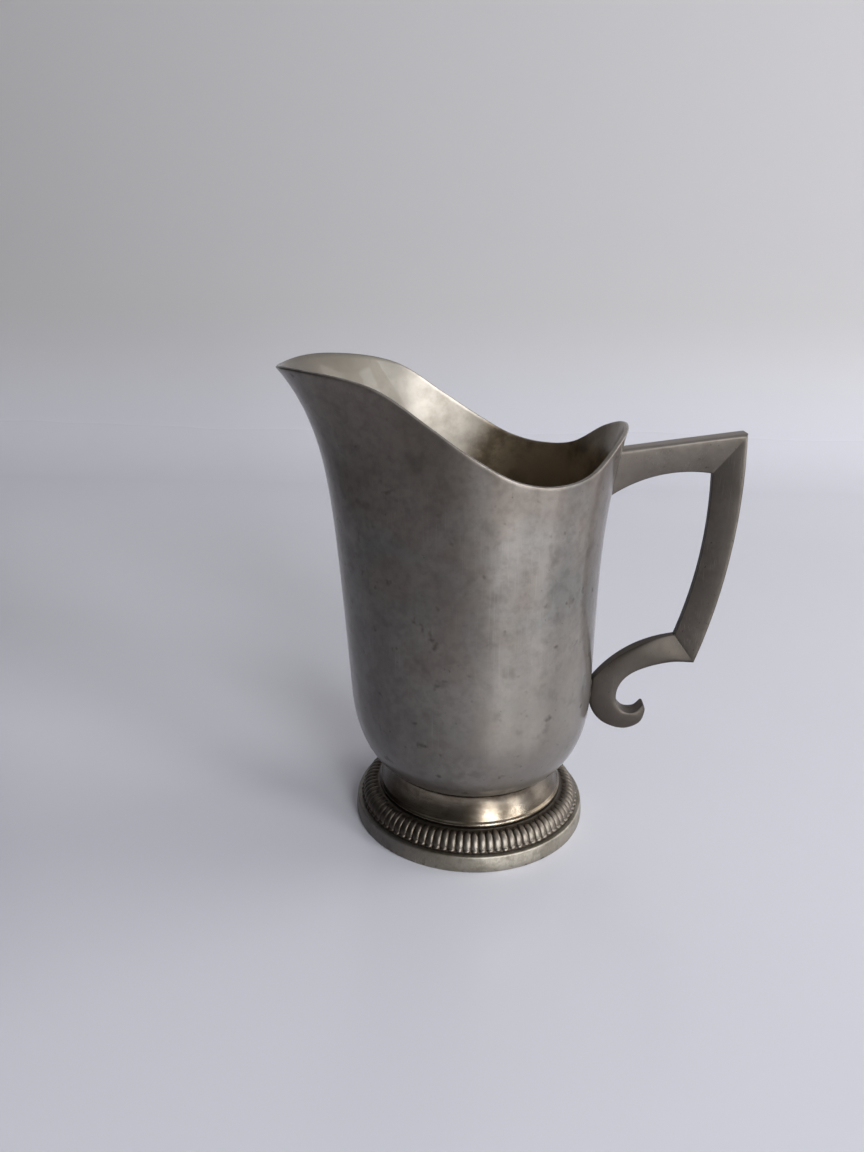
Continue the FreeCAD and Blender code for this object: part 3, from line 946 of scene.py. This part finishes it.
def polished_pewter():
    """The collar of the foot, rubbed brighter and yellower than the rest, with painted shade towards its
    sides.
    """
    paint = Paint("polished pewter")
    mottle = paint.noise(3.2, detail=5.0, rough=0.6)
    rubbed = paint.noise(7.0, detail=4.0, where=paint.mapped((1, 1, 4)))
    scratched = all_scratches(paint, 5.0)
    metal = paint.mix(paint.step(rubbed, 0.3, 0.7), (0.17, 0.137, 0.10), (0.275, 0.237, 0.19))
    metal = paint.layer(metal, paint.step(mottle, 0.42, 0.7), 0.6, (0.085, 0.062, 0.04))
    # Painted shade: the collar is painted darker towards the spout's side, and a little towards the
    # handle's side.
    painted_side_shade = paint.times(paint.by_reach(-11, -20), paint.scale_to(mottle, 0.75, 1.0))
    painted_side_shade = paint.plus(painted_side_shade, paint.times(paint.by_reach(13, 20), 0.3))
    metal = paint.mix(painted_side_shade, metal, (0.028, 0.018, 0.011))
    metal = paint.layer(metal, scratched, 0.15, (0.55, 0.52, 0.46))
    rough = paint.scale_to(mottle, 0.20, 0.29)
    relief = paint.minus(paint.times(mottle, 0.5), paint.times(scratched, 0.4))
    return paint.finish(metal, rough, relief, 0.012)


def chased_pewter():
    """The ribbed ring: rubbed bright on the ribs, black with old polish and dirt in the grooves, with
    painted shade by the collar, at the outer edge and towards both sides.
    """
    paint = Paint("chased pewter")
    mottle = paint.noise(1.6, detail=4.0, rough=0.6)
    broad = paint.noise(9.0, detail=3.0)
    # Dirt in the grooves, with painted shade by the collar and at the outer edge.
    dirt = paint.step(paint.plus(paint.mark("dirt_and_shade"), paint.times(mottle, 0.5)), 0.35, 0.95)
    metal = paint.mix(paint.step(broad, 0.3, 0.7), (0.160, 0.139, 0.115), (0.236, 0.211, 0.180))
    metal = paint.layer(metal, paint.step(mottle, 0.45, 0.75), 0.4, (0.11, 0.09, 0.07))
    # Painted shade: the ring is painted darker towards the spout's side and towards the handle's side.
    painted_side_shade = paint.times(paint.by_reach(10, -18), 0.65)
    painted_side_shade = paint.plus(painted_side_shade, paint.times(paint.by_reach(17, 25), 0.5))
    metal = paint.mix(painted_side_shade, metal, (0.055, 0.043, 0.034))
    colour = paint.mix(dirt, metal, (0.065, 0.053, 0.042))
    rough = paint.plus(paint.scale_to(mottle, 0.36, 0.46), paint.times(dirt, 0.15))
    return paint.finish(colour, rough, mottle, 0.03)


def rubbed_pewter():
    """The base band: matt yellow-grey, blotchy, with nicks along its lower edge, and painted shade towards
    the spout's side.
    """
    paint = Paint("rubbed pewter")
    mottle = paint.noise(3.0, detail=6.0, rough=0.65, warp=0.3)
    grain = paint.noise(0.5, detail=3.0)
    broad = paint.noise(12.0)
    low = paint.by_height(1.5, 0.2)
    nicks = paint.times(paint.specks(2.0, 0.56, 0.66, (1, 1, 2)), paint.scale_to(low, 0.25, 1.0))
    scratched = all_scratches(paint, 11.0)
    metal = paint.mix(paint.step(broad, 0.3, 0.7), (0.26, 0.234, 0.190), (0.40, 0.371, 0.317))
    metal = paint.layer(metal, paint.step(mottle, 0.4, 0.7), 0.6, (0.15, 0.128, 0.094))
    # Painted shade: the band is painted darker towards the spout's side.
    painted_side_shade = paint.times(paint.by_reach(-6, -22), 0.6)
    metal = paint.mix(painted_side_shade, metal, (0.10, 0.095, 0.10))
    metal = paint.layer(metal, nicks, 0.7, (0.07, 0.058, 0.042))
    metal = paint.layer(metal, scratched, 0.5, (0.50, 0.47, 0.41))
    rough = paint.scale_to(mottle, 0.40, 0.56)
    relief = paint.plus(paint.times(grain, 0.25), paint.times(mottle, 0.4))
    relief = paint.minus(relief, paint.times(nicks, 0.9))
    return paint.finish(metal, rough, relief, 0.06)


def solder_metal():
    """Dull grey solder in the joints, darkened where dirt collects."""
    paint = Paint("solder")
    mottle = paint.noise(0.9, detail=4.0, rough=0.6)
    dirt = paint.step(paint.noise(2.5, where=paint.mapped(shift=(0.3, 0.6, 0.1))), 0.4, 0.65)
    metal = paint.mix(paint.times(dirt, 0.8), (0.22, 0.205, 0.185), (0.05, 0.043, 0.035))
    rough = paint.scale_to(mottle, 0.36, 0.55)
    return paint.finish(metal, rough, mottle, 0.05)


# ==== stage ====

# The stage's places and sizes are metres.
FLOOR_NEAR = -1.6
CURVE_START = 0.38
CURVE_RADIUS = 0.16
CURVE_STEPS = 24
BACKDROP_TOP = 1.5
HALF_WIDTH = 2.2
MATT_FROM = 0.12                # from this height on the backdrop is fully matt and greyer
AIM_HEIGHT = 0.06               # height of the point that the lights face


def pale_surface():
    """The plain pale floor and sweep: smooth, slightly glossy paint."""
    paint = Paint("pale floor")
    drift = paint.noise(160, detail=2.0)
    colour = paint.mix(drift, (0.66, 0.66, 0.722), (0.695, 0.695, 0.757))
    sheen = paint.scale_to(drift, 0.18, 0.24)
    matt = paint.step(paint.axis("Z"), 0.0, MATT_FROM)
    colour = paint.mix(matt, colour, (0.535, 0.52, 0.527))
    paint.feed(paint.shader.inputs["Base Color"], colour)
    paint.feed(paint.shader.inputs["Roughness"], paint.plus(sheen, paint.times(matt, 0.6)))
    return paint.material


def build_stage():
    """A floor that curves up into a plain backdrop well behind the jug."""
    line = [(FLOOR_NEAR, 0.0), (CURVE_START, 0.0)]
    for k in range(1, CURVE_STEPS + 1):
        turn = math.pi / 2 * k / CURVE_STEPS
        back = CURVE_START + CURVE_RADIUS * math.sin(turn)
        line.append((back, CURVE_RADIUS - CURVE_RADIUS * math.cos(turn)))
    line.append((CURVE_START + CURVE_RADIUS, BACKDROP_TOP))
    points = [(x, y, z) for y, z in line for x in (-HALF_WIDTH, HALF_WIDTH)]
    faces = [(2 * k, 2 * k + 1, 2 * k + 3, 2 * k + 2) for k in range(len(line) - 1)]
    sweep = plain_object("sweep", points, faces)
    sweep.data.materials.append(pale_surface())


def dark_card(name, corners, material):
    """A dark card for reflections and shade, which the camera doesn't see."""
    card = plain_object(name, corners, [(0, 1, 2, 3)])
    card.data.materials.append(material)
    card.visible_camera = False
    return card


def build_dark_cards():
    """The unlit side of the room: a card on the left, and one before the jug that only reflects."""
    paint = Paint("black felt")
    paint.shader.inputs["Base Color"].default_value = (0.02, 0.02, 0.02, 1.0)
    paint.shader.inputs["Roughness"].default_value = 0.9
    x, near, far, top = -0.255, -0.45, 0.19, 0.26
    upright = [(x, near, 0), (x, far, 0), (x, far, top), (x, near, top)]
    dark_card("card_left", upright, paint.material)
    left, right, near, far, z = -1.2, 0.20, -1.5, -0.27, 0.002
    lying = [(left, near, z), (right, near, z), (right, far, z), (left, far, z)]
    front = dark_card("card_front", lying, paint.material)
    front.visible_diffuse = False
    front.visible_shadow = False


def direction(azimuth, elevation):
    """Unit vector: azimuth 0 towards the camera's side (-Y), 90 towards the handle (+X)."""
    a, e = math.radians(azimuth), math.radians(elevation)
    return Vector((math.sin(a) * math.cos(e), -math.cos(a) * math.cos(e), math.sin(e)))


def area_light(name, azimuth, elevation, distance, wide, tall, watts, colour):
    """A soft rectangular light that faces the jug."""
    data = bpy.data.lights.new(name, "AREA")
    data.shape = "RECTANGLE"
    data.size, data.size_y = wide, tall
    data.energy = watts
    data.color = colour
    lamp = bpy.data.objects.new(name, data)
    aim = Vector((0, 0, AIM_HEIGHT))
    away = direction(azimuth, elevation)
    lamp.location = aim + away * distance
    lamp.rotation_euler = away.to_track_quat("Z", "Y").to_euler()
    bpy.context.scene.collection.objects.link(lamp)


def build_lights():
    """Two tall soft panes on the right and a broad dim fill behind them."""
    cool = (0.96, 0.98, 1.0)
    warm = (1.0, 0.99, 0.97)
    # name, azimuth, elevation, distance, width, height, watts, colour
    area_light("pane_near", 26.5, 17, 1.2, 0.38, 0.80, 10.4, cool)
    area_light("pane_far", 57, 17, 1.2, 0.28, 0.80, 6.6, cool)
    area_light("fill_right", 111, 22, 1.3, 1.0, 0.8, 10.5, warm)


def room_ramp(tree, value, low, high, dark, bright):
    """Brightness of the room: a smooth climb from dark to bright while value goes from low to high."""
    ramp = tree.nodes.new("ShaderNodeMapRange")
    ramp.interpolation_type = "SMOOTHSTEP"
    ramp.inputs["From Min"].default_value = low
    ramp.inputs["From Max"].default_value = high
    ramp.inputs["To Min"].default_value = dark
    ramp.inputs["To Max"].default_value = bright
    tree.links.new(value, ramp.inputs["Value"])
    return ramp.outputs["Result"]


def build_room():
    """The light all round: dark on the left, bright on the right and overhead."""
    world = bpy.data.worlds.new("room")
    bpy.context.scene.world = world
    world.use_nodes = True
    tree = world.node_tree
    place = tree.nodes.new("ShaderNodeTexCoord")
    split = tree.nodes.new("ShaderNodeSeparateXYZ")
    total = tree.nodes.new("ShaderNodeMath")
    total.operation = "ADD"
    tree.links.new(place.outputs["Generated"], split.inputs[0])
    tree.links.new(room_ramp(tree, split.outputs["X"], -0.2, 0.9, 0.03, 0.52), total.inputs[0])
    tree.links.new(room_ramp(tree, split.outputs["Z"], 0.66, 1.0, 0.0, 0.36), total.inputs[1])
    tree.links.new(total.outputs["Value"], tree.nodes["Background"].inputs["Strength"])
    tree.nodes["Background"].inputs["Color"].default_value = (0.97, 0.98, 1.0, 1.0)


def build_camera():
    """The camera, with the eye's place and turn as measured distances and angles."""
    pitch, yaw, roll = (math.radians(a) for a in (EYE_PITCH, EYE_YAW, EYE_ROLL))
    ahead = Vector((math.sin(yaw) * math.cos(pitch), math.cos(yaw) * math.cos(pitch), -math.sin(pitch)))
    level = Vector((math.cos(yaw), -math.sin(yaw), 0))
    up = level.cross(ahead)
    right = level * math.cos(roll) + up * math.sin(roll)
    top = up * math.cos(roll) - level * math.sin(roll)
    data = bpy.data.cameras.new("eye")
    data.sensor_width = 36.0
    data.lens = LENS
    data.clip_start = 0.01
    eye = bpy.data.objects.new("eye", data)
    turn = Matrix((right, top, -ahead)).transposed().to_4x4()
    eye.matrix_world = Matrix.Translation(Vector((0, -EYE_BACK, EYE_HEIGHT)) * MM) @ turn
    bpy.context.scene.collection.objects.link(eye)
    bpy.context.scene.camera = eye


# ==== the jug ====

finish_piece(build_body(), aged_pewter(), "body_shell")
finish_piece(build_handle(), cast_pewter(), "handle")
finish_piece(build_foot_neck(), polished_pewter(), "foot_neck")
finish_piece(build_gadroon_ring(), chased_pewter(), "gadroon_ring")
finish_piece(build_base_band(), rubbed_pewter(), "base_band")

solder = solder_metal()
upper_root = root_outline(ARM_UNDER_ROOT[1], ARM_TOP_ROOT[1], HANDLE_THICK, ARM_SHAPE)
lower_root = root_outline(*LOWER_ROOT, LOWER_ROOT_THICK, CURL_SHAPE)
upper_bead = solder_bead("upper_handle_solder_bead", upper_root, UPPER_BEAD)
lower_bead = solder_bead("lower_handle_solder_bead", lower_root, LOWER_BEAD)
finish_piece(upper_bead, solder, "upper_handle_solder")
finish_piece(lower_bead, solder, "lower_handle_solder")
for node_name in ("neck_solder", "ring_solder", "band_solder"):
    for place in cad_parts[node_name].material_slots:
        place.material = solder

build_stage()
build_dark_cards()
build_lights()
build_room()
build_camera()
bpy.context.scene.view_settings.view_transform = "Standard"
